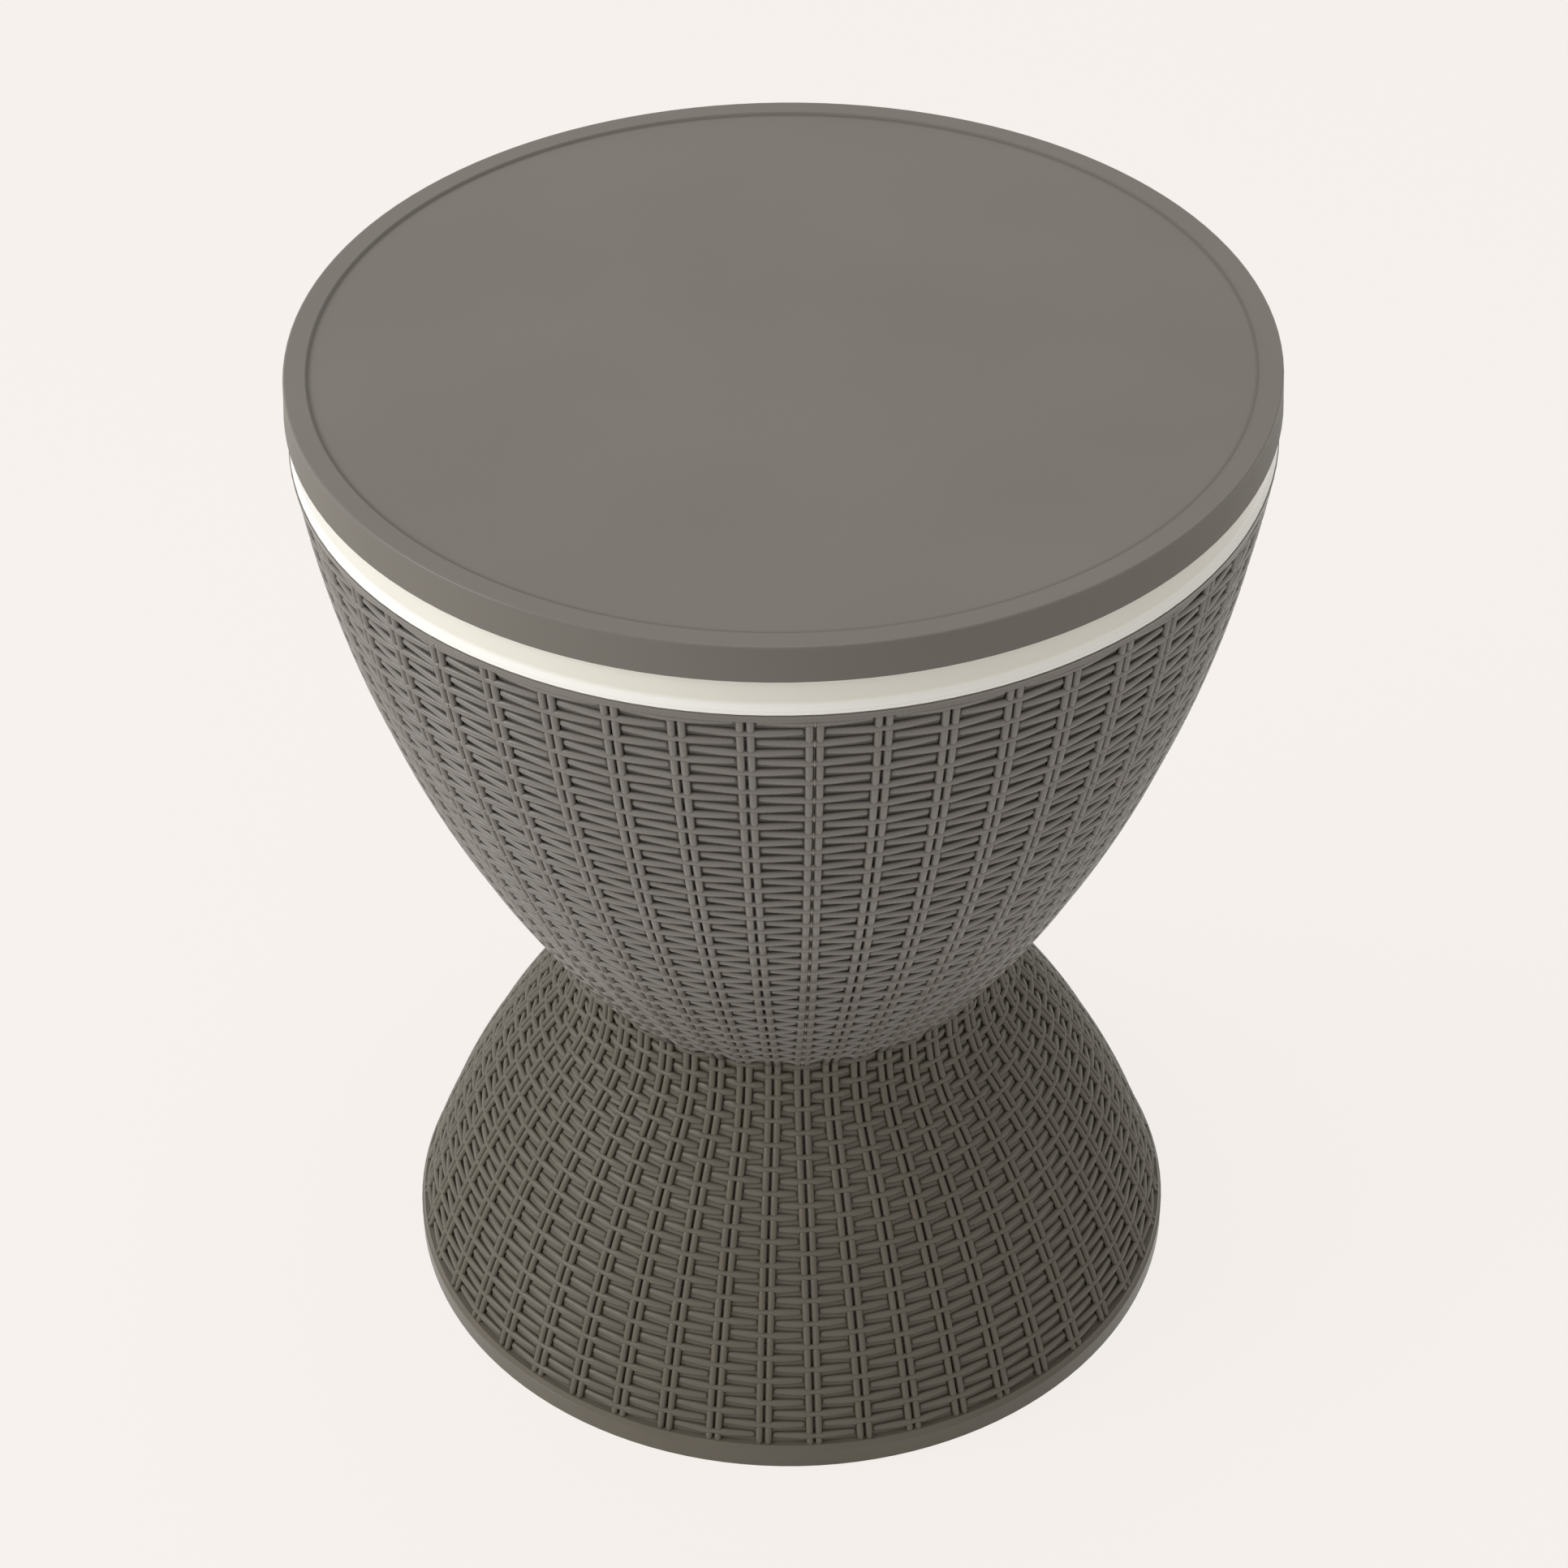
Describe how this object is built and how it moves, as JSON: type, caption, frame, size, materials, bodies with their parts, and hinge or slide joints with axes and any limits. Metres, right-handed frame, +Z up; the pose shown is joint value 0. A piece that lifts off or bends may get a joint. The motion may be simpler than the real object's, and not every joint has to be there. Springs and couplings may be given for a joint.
{
  "type": "cooler table with lid",
  "caption": "Round wicker-look patio table on a bell base; its top lifts on a telescoping twist-lock column off a white drinks cooler bowl with a drain.",
  "frame": {"origin": "on the floor, on the axis of the column, with the top closed", "axes": "+Z up along the column; +X towards the key rib in the outer tube and the cross bolt's head; the picture looks along +Y"},
  "size_m": [0.4969, 0.497, 0.58],
  "materials": {
    "wicker_casing": "moulded wicker-look resin, taupe grey, matt",
    "table_plastic": "moulded resin with a fine matt grain, taupe grey",
    "white_plastic": "smooth white moulded resin, satin",
    "dark_plastic": "glass-filled nylon, dark grey, matt",
    "tube_aluminium": "drawn tube, satin anodised",
    "screw_steel": "stainless steel, bright",
    "seal_rubber": "soft black rubber",
    "stopper_rubber": "soft pale grey rubber"
  },
  "bodies": {
    "root": {"base_shell": "wicker_casing", "bowl_casing": "wicker_casing", "bowl_liner": "white_plastic", "column_socket": "dark_plastic", "outer_tube": "tube_aluminium", "column_collar": "table_plastic", "column_seal": "seal_rubber", "neck_screws": "screw_steel", "liner_screws": "screw_steel", "mast_screws": "screw_steel", "drain_outlet": "white_plastic", "drain_gasket": "seal_rubber", "drain_nut": "white_plastic"},
    "lift": {"lock_ring": "dark_plastic"},
    "top": {"table_top": "table_plastic", "under_cover": "table_plastic", "cover_screws": "screw_steel", "top_hub": "dark_plastic", "hub_screws": "screw_steel", "inner_tube": "tube_aluminium", "tube_bolt": "screw_steel", "tube_nut": "screw_steel", "lock_cam": "dark_plastic", "cam_rivets": "tube_aluminium"},
    "drain": {"drain_stopper": "stopper_rubber"}
  },
  "joints": [
    {"name": "top_lift", "type": "slide", "parent": "root", "child": "lift", "axis": [0, 0, 1], "range_m": [0, 0.25]},
    {"name": "top_twist", "type": "hinge", "parent": "lift", "child": "top", "pos_m": [0, 0, 0], "axis": [0, 0, 1], "range_deg": [0, 60]},
    {"name": "drain_lift", "type": "slide", "parent": "root", "child": "drain", "axis": [0, 0, 1], "range_m": [0, 0.04]}
  ]
}
